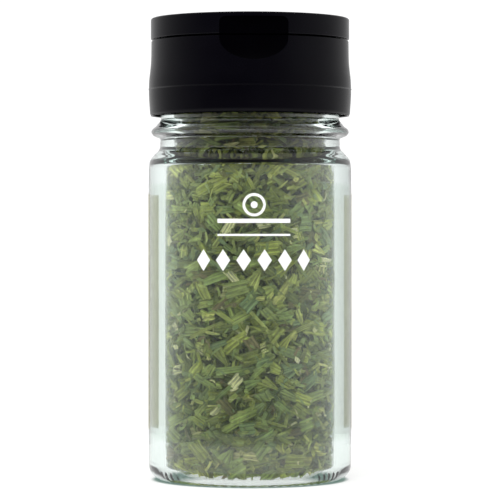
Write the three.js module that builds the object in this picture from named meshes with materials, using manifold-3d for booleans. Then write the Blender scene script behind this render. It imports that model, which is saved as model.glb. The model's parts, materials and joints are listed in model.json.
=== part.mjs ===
// A jar of dried chives: a round clear-glass spice jar with a screw-on flip-top sifter cap, a film label
// wrapped round its body, and a filling of chopped, dried chives. Millimetres, +Z up. The origin is on the
// jar's axis, on the surface that it stands on, and the thumb notch of the cap faces -Y.

import * as THREE from 'three';
import { mergeVertices } from 'three/addons/utils/BufferGeometryUtils.js';
import Module from 'manifold-3d';

// ---- Driving dimensions -------------------------------------------------------------------------

const ROUND = 48;                 // facets round the jar, the label and the cap

const JAR = {
  radius: 22.5,                   // outside of the straight body
  foot: 19.2,                     // where the heel meets the ground
  ring: 1.2,                      // width of the flat ring that the jar stands on
  heel: 3.3,                      // radius of the heel's curve
  punt: 0.8,                      // how far the middle of the base is raised
  floor: 1.6,                     // top of the base inside, at its edge
  middle: 2.9,                    // and in its raised middle
  bore: 18.9,                     // inside of the body
  corner: 2.2,                    // inside curve between wall and base
  bodyTop: 69,                    // where the straight body ends and the shoulder starts
  shoulder: [[22.21, 70.9], [21.23, 72.2], [20.1, 73.5]],
  innerShoulder: [[17.25, 71.3], [17.98, 70.5], [18.72, 69.7]],
  boreTop: 69.1,                  // where the inside of the body starts to narrow
  neckBoreLow: 71.9,              // and where it has become the neck
  neck: 19.95,                    // outside of the neck below the bead
  neckBore: 17.07,                // inside of the neck
  beadLow: 75.75, beadTip: 77.3, beadHigh: 79.6,
  beadRadius: 22.17,
  finish: 19.85,                  // outside of the neck above the bead
  land: 95.9,                     // top of the glass
};

const THREAD = {
  pitch: 4.2,
  turns: 1.5,
  start: 84.2,                    // height of the glass ridge's middle at its lower end
  capDrop: 1.75,                  // the cap's ridge runs this far below the glass one
  jarCrest: 20.75,
  capCrest: 20.15,
  rootHalf: 1.0, crestHalf: 0.4,  // half widths of a ridge at its root and crest
  sunk: 0.4,                      // how deep a ridge is rooted in its wall
  stepsPerTurn: 24,
  runOut: 4,                      // steps over which a ridge grows to its full height
};

const CAP = {
  bottom: 80.8,
  lip: 21.95,                     // outside of the bottom edge
  bulge: [
    [22.22, 81.25], [22.38, 83.5], [22.48, 85.3], [22.5, 87.1],
    [22.4, 88.9], [22.2, 90.7], [22.03, 92.5], [21.97, 94.2],
  ],
  seam: 97.4,                     // where the cap body ends and the gap under the lid starts
  top: 21.93,                     // outside at the seam
  threadRoot: 21.05,              // inside of the skirt, between the threads
  collar: 20.15,                  // inside of the thicker collar above the threads
  collarLow: 92.4, collarHigh: 93.4,
  ceiling: 96.1,                  // underside of the ring that seals on the glass
  well: 16.6,                     // inside of the raised deck
  boss: 18.9,                     // outside of the raised deck
  deckTop: 99.6,
  deckThick: 1.4,
  holeRadius: 2.5,
  holeCircle: 10.5,
  holes: 6,                       // round the one in the middle
};

const LID = {
  bottom: 97.75,
  top: 102.4,
  radius: 22.05,
  inner: 20.65,
  plate: 101.2,                   // underside of the top
  edge: 0.5,                      // rounding of the top edge
  padFace: 19.2,                  // inner face of the thick parts at front and back
  padHalf: 8.5,
  plugRadius: 2.2,
  plugBottom: 99.0,
  plugTip: 0.35,                  // taper at the end of a plug
  root: 0.3,                      // how deep what stands under the top is rooted in it
  ribRadius: 15, ribHalf: 0.5, ribBottom: 99.9,
};

const NOTCH = {
  half: 7.45,                     // half the width of the thumb notch
  face: 20.6,                     // distance of its flat from the axis
  top: 101.45,
  corner: 1.3,
  scoopDepth: 5.15,               // how far the scoop runs down the cap body below the seam
  squareness: 2.3,                // power of the scoop's outline: 2 would be an ellipse
  through: [-26, -18],            // the cutters' reach along Y
};

const HINGE = {
  flat: 20.9,                     // distance of the flats behind the hinge from the axis
  flatLow: 94.0,
  cut: 12,                        // half the width of what cuts the flats
  half: 5.7,                      // half the width of the web
  inner: 21.2, outer: 21.7,
  low: 94.4, high: 100.9,
  thinInner: 21.32, thinOuter: 21.58,
};

const LABEL = {
  low: 9.4, high: 65.7,
  inner: 22.54, outer: 22.66,
  gap: 2.6,                       // half the open seam at the back
};

const FILL = {
  seed: 20817,
  bottom: 3.3,
  top: 86,
  clear: 0.3,                     // between the chips and the glass
  coreGap: 1.3,                   // the core stays this far inside what the chips reach
  width: 3.8, length: 8.6, thick: 1.6,
  rowStep: 6.0,                   // between rows of chips, up the wall
  acrossStep: 9.8,                // between the chips of a row
  strewn: 9,                      // chips on the loose top, and as many underneath
};

// ---- Turning three.js geometry into solids and back ---------------------------------------------

const wasm = await Module();
wasm.setup();

function solid(geometry) {
  const bare = geometry.clone();
  for (const name of Object.keys(bare.attributes)) {
    if (name !== 'position') bare.deleteAttribute(name);
  }
  const merged = mergeVertices(bare, 1e-5);
  const index = Array.from(merged.index.array);
  const corners = [];
  for (let i = 0; i < index.length; i += 3) {
    const [a, b, c] = index.slice(i, i + 3);
    if (a !== b && b !== c && c !== a) corners.push(a, b, c);
  }
  return new wasm.Manifold(new wasm.Mesh({
    numProp: 3,
    vertProperties: Float32Array.from(merged.attributes.position.array),
    triVerts: Uint32Array.from(corners),
  }));
}

function piece(name, body, material) {
  const mesh = body.getMesh();
  const geometry = new THREE.BufferGeometry();
  geometry.setAttribute('position', new THREE.BufferAttribute(mesh.vertProperties, 3));
  geometry.setIndex(new THREE.BufferAttribute(mesh.triVerts, 1));
  geometry.computeVertexNormals();
  const result = new THREE.Mesh(geometry, material);
  result.name = name;
  return result;
}

// The largest separate body: what fusing many chips seals inside, or leaves loose, is dropped.
function mainBody(body) {
  const parts = body.decompose();
  return parts.reduce((best, part) => (part.volume() > best.volume() ? part : best));
}

// ---- Shapes that several pieces share -----------------------------------------------------------

// Revolves [radius, height] points round +Z. Profiles run upwards on the outside, so that faces point out.
function lathe(points, segments = ROUND) {
  const profile = points.map(([r, z]) => new THREE.Vector2(r, z));
  return new THREE.LatheGeometry(profile, segments).rotateX(Math.PI / 2);
}

function arc(centre, radius, from, to, steps) {
  const points = [];
  for (let i = 0; i <= steps; i += 1) {
    const a = THREE.MathUtils.degToRad(from + ((to - from) * i) / steps);
    points.push([centre[0] + radius * Math.cos(a), centre[1] + radius * Math.sin(a)]);
  }
  return points;
}

function cylinder(radius, low, high, x = 0, y = 0, segments = 20) {
  const shape = new THREE.CylinderGeometry(radius, radius, high - low, segments);
  return solid(shape.rotateX(Math.PI / 2).translate(x, y, (low + high) / 2));
}

function block(x, y, z) {
  const shape = new THREE.BoxGeometry(x[1] - x[0], y[1] - y[0], z[1] - z[0]);
  return solid(shape.translate((x[0] + x[1]) / 2, (y[0] + y[1]) / 2, (z[0] + z[1]) / 2));
}

// A shape in the XZ plane, pushed along Y between two distances from the axis.
function slab(shape, y) {
  const depth = y[1] - y[0];
  const geometry = new THREE.ExtrudeGeometry(shape, { depth, bevelEnabled: false, steps: 1 });
  return solid(geometry.rotateX(Math.PI / 2).translate(0, y[1], 0));
}

// What makes the flat behind the hinge, between two heights.
function hingeFlat(low, high) {
  return block([-HINGE.cut, HINGE.cut], [HINGE.flat, HINGE.flat + 5], [low, high]);
}

// A screw thread: a ridge whose section shrinks into its wall at both ends of the run.
function ridge(root, crest, start) {
  const steps = Math.round(THREAD.turns * THREAD.stepsPerTurn);
  const sunk = root + Math.sign(root - crest) * THREAD.sunk;
  const positions = [];
  const index = [];
  for (let i = 0; i <= steps; i += 1) {
    const angle = (i / THREAD.stepsPerTurn) * 2 * Math.PI;
    const z = start + (THREAD.pitch * i) / THREAD.stepsPerTurn;
    const grown = Math.min(1, (0.12 + Math.min(i, steps - i)) / THREAD.runOut);
    const top = root + (crest - root) * grown;
    const section = [
      [sunk, z - THREAD.rootHalf], [top, z - THREAD.crestHalf],
      [top, z + THREAD.crestHalf], [sunk, z + THREAD.rootHalf],
    ];
    for (const [r, h] of section) positions.push(r * Math.cos(angle), r * Math.sin(angle), h);
    if (i === steps) continue;
    for (let k = 0; k < 4; k += 1) {
      const a = i * 4 + k;
      const b = i * 4 + ((k + 1) % 4);
      index.push(a, b, b + 4, a, b + 4, a + 4);
    }
  }
  const last = steps * 4;
  index.push(0, 2, 1, 0, 3, 2, last, last + 1, last + 2, last, last + 2, last + 3);
  if (crest > root) index.reverse();
  const geometry = new THREE.BufferGeometry();
  geometry.setAttribute('position', new THREE.Float32BufferAttribute(positions, 3));
  geometry.setIndex(index);
  return solid(geometry);
}

// ---- Glass jar ----------------------------------------------------------------------------------

const glass = new THREE.MeshStandardMaterial({
  color: 0xdfeae6, roughness: 0.05, metalness: 0, transparent: true, opacity: 0.35,
});

function glassJar() {
  const outside = [
    [0, JAR.punt],
    [JAR.foot - JAR.ring - 2.2, JAR.punt],
    [JAR.foot - JAR.ring, 0],
    ...arc([JAR.foot, JAR.heel], JAR.heel, -90, 0, 4),
    [JAR.radius, JAR.bodyTop],
    ...JAR.shoulder,
    [JAR.neck, JAR.beadLow],
    [21.5, JAR.beadTip - 1.0],
    [JAR.beadRadius, JAR.beadTip],
    [21.65, JAR.beadTip + 0.6],
    [20.7, JAR.beadTip + 1.35],
    [JAR.finish, JAR.beadHigh],
    [JAR.finish, JAR.land - 0.5],
    [JAR.finish - 0.5, JAR.land],
  ];
  const inside = [
    [JAR.neckBore, JAR.land],
    [JAR.neckBore, JAR.neckBoreLow],
    ...JAR.innerShoulder,
    [JAR.bore, JAR.boreTop],
    ...arc([JAR.bore - JAR.corner, JAR.floor + JAR.corner], JAR.corner, 0, -90, 3),
    [8, JAR.floor + 0.77 * (JAR.middle - JAR.floor)],
    [0, JAR.middle],
  ];
  const body = solid(lathe([...outside, ...inside]));
  return piece('glass_jar', body.add(ridge(JAR.finish, THREAD.jarCrest, THREAD.start)), glass);
}

// ---- Cap body: screw skirt, sifter deck and thumb scoop -----------------------------------------

const blackPlastic = () => new THREE.MeshStandardMaterial({ color: 0x0d0c11, roughness: 0.35, metalness: 0 });

// What the thumb scoop takes out of the cap body: a hollow with a rounded D outline, down from the seam.
function scoopCutter() {
  const rise = LID.radius - NOTCH.face;
  const radius = (NOTCH.scoopDepth ** 2 + rise ** 2) / (2 * rise);
  const round = new THREE.CylinderGeometry(radius, radius, 4 * NOTCH.half, 48);
  round.rotateZ(Math.PI / 2).translate(0, -NOTCH.face - radius, CAP.seam);
  const power = 2 / NOTCH.squareness;
  const outline = new THREE.Shape();
  const steps = 24;
  for (let i = 0; i <= steps; i += 1) {
    const a = Math.PI * (i / steps);
    const x = NOTCH.half * Math.sign(Math.cos(a)) * Math.abs(Math.cos(a)) ** power;
    const z = CAP.seam - (NOTCH.scoopDepth + 0.1) * Math.abs(Math.sin(a)) ** power;
    if (i === 0) outline.moveTo(x, z);
    else outline.lineTo(x, z);
  }
  outline.lineTo(-NOTCH.half, CAP.seam + 1);
  outline.lineTo(NOTCH.half, CAP.seam + 1);
  outline.closePath();
  return solid(round).intersect(slab(outline, NOTCH.through));
}

function capBody() {
  const body = solid(lathe([
    [CAP.threadRoot + 0.25, CAP.bottom],
    [CAP.lip, CAP.bottom],
    ...CAP.bulge,
    [CAP.top, CAP.seam - 0.25],
    [CAP.top - 0.25, CAP.seam],
    [CAP.boss, CAP.seam],
    [CAP.boss, CAP.deckTop - 0.4],
    [CAP.boss - 0.4, CAP.deckTop],
    [0, CAP.deckTop],
    [0, CAP.deckTop - CAP.deckThick],
    [CAP.well, CAP.deckTop - CAP.deckThick],
    [CAP.well, CAP.ceiling],
    [CAP.collar, CAP.ceiling],
    [CAP.collar, CAP.collarHigh],
    [CAP.threadRoot, CAP.collarLow],
    [CAP.threadRoot, CAP.bottom + 0.4],
    [CAP.threadRoot + 0.25, CAP.bottom],
  ]));
  const thread = ridge(CAP.threadRoot, THREAD.capCrest, THREAD.start - THREAD.capDrop);
  let cap = body.add(thread);
  const places = [[0, 0]];
  for (let i = 0; i < CAP.holes; i += 1) {
    const a = (Math.PI / CAP.holes) * (2 * i + 1);
    places.push([CAP.holeCircle * Math.cos(a), CAP.holeCircle * Math.sin(a)]);
  }
  for (const [x, y] of places) {
    cap = cap.subtract(cylinder(CAP.holeRadius, CAP.deckTop - 3, CAP.deckTop + 1, x, y));
  }
  cap = cap.subtract(scoopCutter());
  cap = cap.subtract(hingeFlat(HINGE.flatLow, CAP.seam + 1));
  return { mesh: piece('cap_body', cap, blackPlastic()), places };
}

// ---- Flip lid -----------------------------------------------------------------------------------

function roundedRectangle(half, low, high, corner) {
  const shape = new THREE.Shape();
  shape.moveTo(-half, low);
  shape.lineTo(half, low);
  shape.lineTo(half, high - corner);
  shape.absarc(half - corner, high - corner, corner, 0, Math.PI / 2, false);
  shape.absarc(-half + corner, high - corner, corner, Math.PI / 2, Math.PI, false);
  shape.closePath();
  return shape;
}

function flipLid(places) {
  const shell = solid(lathe([
    [0, LID.plate],
    [LID.inner, LID.plate],
    [LID.inner, LID.bottom],
    [LID.radius - 0.2, LID.bottom],
    [LID.radius, LID.bottom + 0.2],
    ...arc([LID.radius - LID.edge, LID.top - LID.edge], LID.edge, 0, 90, 4),
    [0, LID.top],
  ]));
  const rooted = LID.plate + LID.root;
  const within = cylinder(LID.radius - 0.65, LID.bottom, rooted, 0, 0, ROUND);
  const across = [-LID.padHalf, LID.padHalf];
  const pads = [[-LID.radius, -LID.padFace], [LID.padFace, LID.radius]];
  let lid = shell;
  for (const y of pads) lid = lid.add(block(across, y, [LID.bottom, rooted]).intersect(within));
  const notch = roundedRectangle(NOTCH.half, LID.bottom - 1, NOTCH.top, NOTCH.corner);
  lid = lid.subtract(slab(notch, [NOTCH.through[0], -NOTCH.face]));
  lid = lid.subtract(hingeFlat(LID.bottom - 1, NOTCH.top));
  const rib = lathe([
    [LID.ribRadius + LID.ribHalf, LID.ribBottom], [LID.ribRadius + LID.ribHalf, rooted],
    [LID.ribRadius - LID.ribHalf, rooted], [LID.ribRadius - LID.ribHalf, LID.ribBottom],
    [LID.ribRadius + LID.ribHalf, LID.ribBottom],
  ], 48);
  lid = lid.add(solid(rib));
  for (const [x, y] of places) {
    const { plugRadius, plugBottom, plugTip } = LID;
    const nose = new THREE.CylinderGeometry(plugRadius, plugRadius - plugTip, plugTip, 16);
    nose.rotateX(Math.PI / 2).translate(x, y, plugBottom + plugTip / 2);
    const stem = cylinder(plugRadius, plugBottom + plugTip, rooted, x, y, 16);
    lid = lid.add(solid(nose).add(stem));
  }
  return piece('flip_lid', lid, blackPlastic());
}

// ---- Living hinge: a thin strip with a thinner line level with the seam -------------------------

function livingHinge() {
  const middle = (CAP.seam + LID.bottom) / 2;
  const section = new THREE.Shape();
  section.moveTo(HINGE.inner, HINGE.low);
  section.lineTo(HINGE.outer - 0.2, HINGE.low);
  section.lineTo(HINGE.outer, HINGE.low + 0.4);
  section.lineTo(HINGE.outer, middle - 0.9);
  section.lineTo(HINGE.thinOuter, middle - 0.3);
  section.lineTo(HINGE.thinOuter, middle + 0.3);
  section.lineTo(HINGE.outer, middle + 0.9);
  section.lineTo(HINGE.outer, HINGE.high - 0.4);
  section.lineTo(HINGE.outer - 0.2, HINGE.high);
  section.lineTo(HINGE.inner, HINGE.high);
  section.lineTo(HINGE.inner, middle + 0.7);
  section.lineTo(HINGE.thinInner, middle + 0.3);
  section.lineTo(HINGE.thinInner, middle - 0.3);
  section.lineTo(HINGE.inner, middle - 0.7);
  section.closePath();
  const strip = new THREE.ExtrudeGeometry(section, { depth: 2 * HINGE.half, bevelEnabled: false });
  // The section's own X and Y become the object's Y and Z, and the push runs along X.
  const turn = new THREE.Matrix4().makeBasis(
    new THREE.Vector3(0, 1, 0), new THREE.Vector3(0, 0, 1), new THREE.Vector3(1, 0, 0),
  );
  strip.applyMatrix4(turn).translate(-HINGE.half, 0, 0);
  return piece('living_hinge', solid(strip), blackPlastic());
}

// ---- Label film ---------------------------------------------------------------------------------

function labelFilm() {
  const band = solid(lathe([
    [LABEL.outer, LABEL.low], [LABEL.outer, LABEL.high], [LABEL.inner, LABEL.high],
    [LABEL.inner, LABEL.low], [LABEL.outer, LABEL.low],
  ]));
  const behind = [LABEL.inner - 5, LABEL.outer + 5];
  const seam = block([-LABEL.gap, LABEL.gap], behind, [LABEL.low - 1, LABEL.high + 1]);
  const film = new THREE.MeshStandardMaterial({ color: 0xbec2b6, roughness: 0.3, metalness: 0 });
  return piece('label_film', band.subtract(seam), film);
}

// ---- Dried chives: chips fused to a smaller core ------------------------------------------------

function seeded(seed) {
  let state = seed;
  return () => {
    state = (state + 0x6d2b79f5) | 0;
    let t = Math.imul(state ^ (state >>> 15), 1 | state);
    t = (t + Math.imul(t ^ (t >>> 7), 61 | t)) ^ t;
    return ((t ^ (t >>> 14)) >>> 0) / 4294967296;
  };
}

// How far out the filling may reach at a height: [height, radius] points that follow the inside of the glass.
const REACH = [
  [JAR.floor, JAR.bore - JAR.corner - FILL.clear],
  [JAR.floor + JAR.corner / 2, JAR.bore - 0.135 * JAR.corner - 2 * FILL.clear],
  [JAR.floor + JAR.corner, JAR.bore - FILL.clear],
  [JAR.boreTop, JAR.bore - FILL.clear],
  ...JAR.innerShoulder.map(([r, z]) => [z, r - FILL.clear]).reverse(),
  [JAR.neckBoreLow, JAR.neckBore - FILL.clear],
  [JAR.land, JAR.neckBore - FILL.clear],
];

function reach(z) {
  for (let i = 1; i < REACH.length; i += 1) {
    const [z0, r0] = REACH[i - 1];
    const [z1, r1] = REACH[i];
    if (z <= z1) return r0 + ((r1 - r0) * Math.max(0, z - z0)) / (z1 - z0);
  }
  return REACH[REACH.length - 1][1];
}

function fillCore() {
  const heights = [FILL.bottom + 1.5, JAR.boreTop - 0.4, 70.5, JAR.neckBoreLow + 0.4, FILL.top - 5];
  const wall = heights.map((z) => [reach(z) - FILL.coreGap, z]);
  const bottom = FILL.bottom + 0.4;
  const profile = [
    [0, bottom], [JAR.bore - JAR.corner - 0.9, bottom], ...wall, [12, FILL.top - 1.6], [0, FILL.top - 0.6],
  ];
  return solid(lathe(profile, 16));
}

// A dried piece of chive, along X: a flattened strip cut askew, or a rolled one with a ridge along it.
function chip(length, width, rolled) {
  if (rolled) {
    const rod = new THREE.CylinderGeometry(1, 1, length, 3).rotateZ(Math.PI / 2);
    return rod.scale(1, width / Math.sqrt(3), FILL.thick / 1.5);
  }
  const strip = new THREE.BoxGeometry(length, width, FILL.thick);
  const askew = new THREE.Matrix4().makeShear(0, 0, 0.25, 0, 0, 0);
  return strip.applyMatrix4(askew);
}

function driedChives() {
  const random = seeded(FILL.seed);
  const between = (low, high) => low + (high - low) * random();
  const someChip = (low, high) => (
    chip(FILL.length * between(low, high), FILL.width * between(0.75, 1.15), random() < 0.5)
  );
  const chips = [];

  // Lays a chip flat on the wall, then moves it out until its outermost corner is as far out as may be.
  function layOnWall(angle, height) {
    const out = new THREE.Vector3(Math.cos(angle), Math.sin(angle), 0);
    const side = new THREE.Vector3(-out.y, out.x, 0);
    const wall = new THREE.Matrix4().makeBasis(side, new THREE.Vector3(0, 0, 1), out);
    const shape = someChip(0.6, 1.25);
    shape.rotateX(between(-0.12, 0.12)).rotateZ(between(0, Math.PI)).applyMatrix4(wall);
    shape.computeBoundingBox();
    const z = Math.max(height, FILL.bottom - shape.boundingBox.min.z);
    shape.translate(0, 0, z);
    const corners = shape.attributes.position;
    const corner = new THREE.Vector3();
    let room = Infinity;
    for (let i = 0; i < corners.count; i += 1) {
      corner.fromBufferAttribute(corners, i);
      const limit = Math.min(reach(corner.z), reach(z));
      room = Math.min(room, Math.sqrt(limit ** 2 - corner.dot(side) ** 2) - corner.dot(out));
    }
    const stand = room - between(0, 0.3);
    chips.push(solid(shape.translate(out.x * stand, out.y * stand, 0)));
  }

  const low = 6.0;
  const high = FILL.top - 3.4;
  const rows = Math.round((high - low) / FILL.rowStep);
  for (let row = 0; row <= rows; row += 1) {
    const z = low + ((high - low) * row) / rows;
    const count = Math.round((2 * Math.PI * reach(z)) / FILL.acrossStep);
    for (let i = 0; i < count; i += 1) {
      const angle = ((i + 0.5 * (row % 2) + between(-0.25, 0.25)) / count) * 2 * Math.PI;
      layOnWall(angle, z + between(-0.8, 0.8));
    }
  }

  // The loose top of the filling, and the flat underside that shows through the base.
  function strew(radius, angle, z, tilt) {
    const shape = someChip(0.6, 1).rotateY(between(-tilt, tilt)).rotateZ(between(0, 2 * Math.PI));
    chips.push(solid(shape.translate(radius * Math.cos(angle), radius * Math.sin(angle), z)));
  }
  const golden = Math.PI * (3 - Math.sqrt(5));
  for (let i = 0; i < FILL.strewn; i += 1) {
    const spread = Math.sqrt((i + 0.5) / FILL.strewn);
    strew(12.2 * spread, i * golden, FILL.top - 0.6 - 1.3 * spread, 0.35);
    strew(11.4 * spread, i * golden + 1, FILL.bottom + FILL.thick / 2, 0);
  }
  const filling = wasm.Manifold.union([fillCore(), ...chips]);
  const chive = new THREE.MeshStandardMaterial({ color: 0x6d7659, roughness: 0.85, metalness: 0 });
  return piece('dried_chives', mainBody(filling), chive);
}

// ---- The jar, put together ----------------------------------------------------------------------

const jarOfChives = new THREE.Group();
const cap = capBody();
jarOfChives.add(glassJar(), cap.mesh, flipLid(cap.places), livingHinge(), labelFilm(), driedChives());

export default jarOfChives;
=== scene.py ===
import json
import math

import bpy
import numpy as np
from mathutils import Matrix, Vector

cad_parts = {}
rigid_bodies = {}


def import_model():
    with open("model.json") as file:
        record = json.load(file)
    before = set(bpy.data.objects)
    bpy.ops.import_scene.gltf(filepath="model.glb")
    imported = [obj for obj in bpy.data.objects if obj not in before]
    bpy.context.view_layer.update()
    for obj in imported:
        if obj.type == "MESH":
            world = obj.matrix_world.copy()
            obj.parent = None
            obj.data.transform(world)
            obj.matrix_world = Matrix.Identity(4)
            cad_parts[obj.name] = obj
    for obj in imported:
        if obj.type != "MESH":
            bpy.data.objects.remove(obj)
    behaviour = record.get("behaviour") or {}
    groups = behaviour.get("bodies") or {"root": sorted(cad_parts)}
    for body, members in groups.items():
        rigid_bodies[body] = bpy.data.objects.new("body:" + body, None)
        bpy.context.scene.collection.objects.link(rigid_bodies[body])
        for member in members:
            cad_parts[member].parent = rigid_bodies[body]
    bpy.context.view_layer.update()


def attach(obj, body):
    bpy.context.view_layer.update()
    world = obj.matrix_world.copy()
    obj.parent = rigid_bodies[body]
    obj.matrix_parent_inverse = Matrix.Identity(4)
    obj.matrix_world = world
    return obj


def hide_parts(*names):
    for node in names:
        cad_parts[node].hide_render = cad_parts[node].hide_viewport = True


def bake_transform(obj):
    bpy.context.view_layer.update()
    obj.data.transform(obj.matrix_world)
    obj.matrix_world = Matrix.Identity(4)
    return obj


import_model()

# ---- Camera and set ----
# A jar on a round opal table lit from below, in a white room whose floor is lit too. The wall that the
# camera stands at is dim, so that the glass stays clear of glare, and three soft boxes hang high round it.

MM = 0.001  # the sizes below are in millimetres, and meshes in metres

EYE_HEIGHT = 56.15
EYE_DISTANCE = 600
EYE_AZIMUTH = math.radians(-2.26)  # a little to the left of straight in front
AIM_HEIGHT = 51.0
LENS, SENSOR = 194, 36
NEAREST = 10  # what the camera still sees

TABLE_RADIUS = 100
TABLE_SIDES = 96
TABLE_DROP = 0.02  # so far below the foot
TABLE_GLOW = 0.73
PAINTED_FOOT_SHADOW = (0.08, 0.15, 0.13, 1)  # painted teal shadow on the table where the jar's foot stands
FOOT_SHADE = (18.4, 19.5, 21.0, 22.2)  # radii between which that painted shadow grows, stays and fades
DIM_SIDE = (-0.26, -0.965, 0)  # towards the dim wall, a little to the left of the front
WALLS = (  # (how far round to the dim side, brightness)
    (0.0, 0.8), (0.15, 1.05), (0.35, 1.1), (0.56, 1.0), (0.74, 0.6), (0.87, 0.3), (1.0, 0.14),
)
CEILING_AND_FLOOR = (  # (slope at which it starts, slope at which it is full, brightness)
    (0.35, 0.9, 0.85), (-0.12, -0.4, 1.9),
)
BACKDROP_GLOW = 1.1
SOFT_BOX_SIZE = 320
SOFT_BOX_DISTANCE = 1100
SOFT_BOXES = (  # (name, azimuth from straight in front, elevation, watts)
    ("soft_box_left", math.radians(-72), math.radians(36), 3.2),
    ("soft_box_right", math.radians(76), math.radians(40), 1.4),
    ("soft_box_front", math.radians(-14), math.radians(56), 4.6),
)


def linear(code):
    """An sRGB hex colour as the linear RGBA that shader sockets take."""
    parts = [int(code[i:i + 2], 16) / 255 for i in (1, 3, 5)]
    return tuple(c / 12.92 if c <= 0.04045 else ((c + 0.055) / 1.055) ** 2.4 for c in parts) + (1,)


def grey(value):
    return (value, value, value, 1)


def node(tree, kind, inputs=None, stops=(), **settings):
    """Adds a node. inputs maps a socket's name or number to a value, an output, a node (its first output) or
    a list of these. stops are the (position, colour) pairs of a ramp."""
    made = tree.nodes.new(kind)
    for key, value in settings.items():
        setattr(made, key, value)
    for key, value in (inputs or {}).items():
        for item in value if isinstance(value, list) else [value]:
            if isinstance(item, bpy.types.Node):
                item = item.outputs[0]
            if isinstance(item, bpy.types.NodeSocket):
                tree.links.new(item, made.inputs[key])
            else:
                made.inputs[key].default_value = item
    while stops and len(made.color_ramp.elements) < len(stops):
        made.color_ramp.elements.new(0.5)
    for i, (position, colour) in enumerate(stops):
        made.color_ramp.elements[i].position = position
        made.color_ramp.elements[i].color = colour
    return made


def material(name):
    """An empty node material, its tree, and the place on the object that patterns go by."""
    made = bpy.data.materials.new(name)
    made.use_nodes = True
    made.node_tree.nodes.clear()
    return made, made.node_tree, node(made.node_tree, "ShaderNodeTexCoord").outputs["Object"]


def link_in(name, data):
    """A new object with this mesh, lamp or camera, in the scene."""
    made = bpy.data.objects.new(name, data)
    bpy.context.scene.collection.objects.link(made)
    return made


def surface(name, points, faces):
    """A mesh from points in millimetres."""
    mesh = bpy.data.meshes.new(name)
    mesh.from_pydata(np.array(points, float) * MM, [], faces)
    return mesh


eye = Vector((EYE_DISTANCE * math.sin(EYE_AZIMUTH), -EYE_DISTANCE * math.cos(EYE_AZIMUTH), EYE_HEIGHT)) * MM
camera = link_in("camera", bpy.data.cameras.new("camera"))
camera.data.lens, camera.data.sensor_width = LENS, SENSOR
camera.data.clip_start = NEAREST * MM
camera.location = eye
camera.rotation_euler = (Vector((0, 0, AIM_HEIGHT * MM)) - eye).to_track_quat("-Z", "Y").to_euler()
bpy.context.scene.camera = camera
bpy.context.scene.view_settings.view_transform = "Standard"

# The room: white walls, dim on one side. What the camera sees straight behind the jar is white in any view.
room = bpy.data.worlds.new("white room")
room.use_nodes = True
tree = room.node_tree
tree.nodes.clear()
direction = node(tree, "ShaderNodeTexCoord").outputs["Generated"]
towards_dim = node(tree, "ShaderNodeVectorMath", {0: direction, 1: DIM_SIDE}, operation="DOT_PRODUCT")
around = node(tree, "ShaderNodeMapRange", {0: towards_dim.outputs["Value"], 1: -1})
lit = node(tree, "ShaderNodeValToRGB", {0: around}, [(turn, grey(brightness)) for turn, brightness in WALLS])
slope = node(tree, "ShaderNodeSeparateXYZ", {0: direction}).outputs[2]
for start, full, brightness in CEILING_AND_FLOOR:
    part = node(tree, "ShaderNodeMapRange", {0: slope, 1: start, 2: full}, interpolation_type="SMOOTHSTEP")
    lit = node(tree, "ShaderNodeMix", {0: part, 6: lit, 7: grey(brightness)}, data_type="RGBA").outputs[2]
straight = node(tree, "ShaderNodeLightPath").outputs["Is Camera Ray"]
seen = node(tree, "ShaderNodeMix", {0: straight, 6: lit, 7: grey(BACKDROP_GLOW)}, data_type="RGBA").outputs[2]
node(tree, "ShaderNodeOutputWorld", {0: node(tree, "ShaderNodeBackground", {0: seen})})
bpy.context.scene.world = room

for name, azimuth, elevation, watts in SOFT_BOXES:
    lamp = bpy.data.lights.new(name, "AREA")
    lamp.size = SOFT_BOX_SIZE * MM
    lamp.energy = watts
    box = link_in(name, lamp)
    level = math.cos(elevation)
    outward = Vector((math.sin(azimuth) * level, -math.cos(azimuth) * level, math.sin(elevation)))
    box.location = outward * SOFT_BOX_DISTANCE * MM
    box.rotation_euler = (-box.location).to_track_quat("-Z", "Y").to_euler()
    box.visible_glossy = False  # the glass mirrors the walls alone

# Table: opal acrylic lit from below, which gives the eye nothing but an even white ground. Where the jar's
# foot stands, its glow is dimmed to a painted teal shadow.
opal_acrylic, tree, place = material("opal_acrylic_sheet")
speckle = node(tree, "ShaderNodeTexNoise", {"Scale": 40.0, "Detail": 3.0})
paint = node(tree, "ShaderNodeValToRGB", {0: speckle}, [(0.3, linear("#8c8e8c")), (0.7, linear("#929391"))])
tooth = node(tree, "ShaderNodeBump", {"Strength": 0.05, "Distance": 0.0002, "Height": speckle})
from_jar = node(tree, "ShaderNodeVectorMath", {0: place}, operation="LENGTH")
around_foot = node(tree, "ShaderNodeMapRange", {0: from_jar.outputs["Value"], 2: 2 * FOOT_SHADE[-1] * MM})
# The glow, with a painted teal shadow in a ring under the foot
glow_and_shadow_stops = (grey(TABLE_GLOW), PAINTED_FOOT_SHADOW, PAINTED_FOOT_SHADOW, grey(TABLE_GLOW))
glow_with_painted_foot_shadow = node(tree, "ShaderNodeValToRGB", {0: around_foot}, [
    (r / (2 * FOOT_SHADE[-1]), glow) for r, glow in zip(FOOT_SHADE, glow_and_shadow_stops)
])
board = node(tree, "ShaderNodeBsdfPrincipled", {
    "Base Color": paint, "Roughness": 0.9, "Specular IOR Level": 0.1, "Normal": tooth,
    "Emission Color": glow_with_painted_foot_shadow, "Emission Strength": 1.0,
})
node(tree, "ShaderNodeOutputMaterial", {0: board})

rim = [
    (TABLE_RADIUS * math.cos(a), TABLE_RADIUS * math.sin(a), -TABLE_DROP)
    for a in np.arange(TABLE_SIDES) * math.tau / TABLE_SIDES
]
table = link_in("table", surface("table", rim, [range(TABLE_SIDES)]))
table.data.materials.append(opal_acrylic)

# ---- Glass jar ----
# One blown and pressed piece of clear soda-lime glass: a heavy base with a raised middle and a ring
# of short slanted knurls that it stands on, a straight wall, a shoulder, and a neck with its transfer
# bead and screw thread.

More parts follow.
